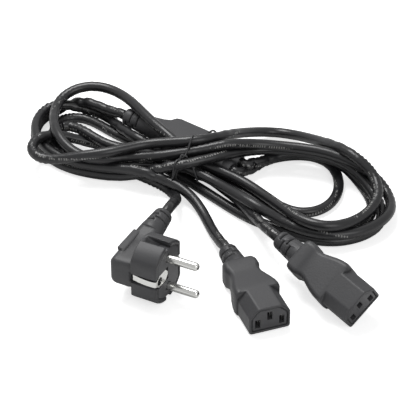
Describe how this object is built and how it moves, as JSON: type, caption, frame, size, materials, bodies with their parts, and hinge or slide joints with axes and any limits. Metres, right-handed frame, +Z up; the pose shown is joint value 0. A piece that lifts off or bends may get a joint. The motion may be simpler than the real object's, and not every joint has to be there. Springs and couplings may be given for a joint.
{
  "type": "power cord splitter",
  "caption": "Mains lead with an angled earthed plug, a moulded junction and two appliance connectors on round cords, coiled in a hank held by a wire tie.",
  "frame": {"origin": "middle of the box of the rigid pieces (plug, connectors, junction and tie) on the surface that the lead lies on", "axes": "+Z up from the surface, +Y from the connectors' faces back to the junction, +X to the right when the faces point at the viewer"},
  "size_m": [0.2186, 0.2204, 0.0373],
  "materials": {
    "moulding": "satin moulded PVC",
    "carrier": "smooth moulded plastic",
    "nickel": "bright nickel plate",
    "tie": "plastic coated wire",
    "sheath": "smooth extruded PVC sheath"
  },
  "bodies": {
    "root": {"plug_body": "moulding", "plug_carrier": "carrier", "plug_pin_line": "nickel", "plug_pin_neutral": "nickel", "plug_earth_contact_near": "nickel", "plug_earth_contact_far": "nickel", "connector_a_body": "moulding", "connector_a_insert": "carrier", "connector_a_contact_line": "nickel", "connector_a_contact_neutral": "nickel", "connector_a_contact_earth": "nickel", "connector_b_body": "moulding", "connector_b_insert": "carrier", "connector_b_contact_line": "nickel", "connector_b_contact_neutral": "nickel", "connector_b_contact_earth": "nickel", "junction_body": "moulding", "wire_tie": "tie", "cord_hank": "sheath", "cord_plug_tail": "sheath", "cord_connector_a_tail": "sheath", "cord_connector_b_tail": "sheath"}
  },
  "joints": []
}
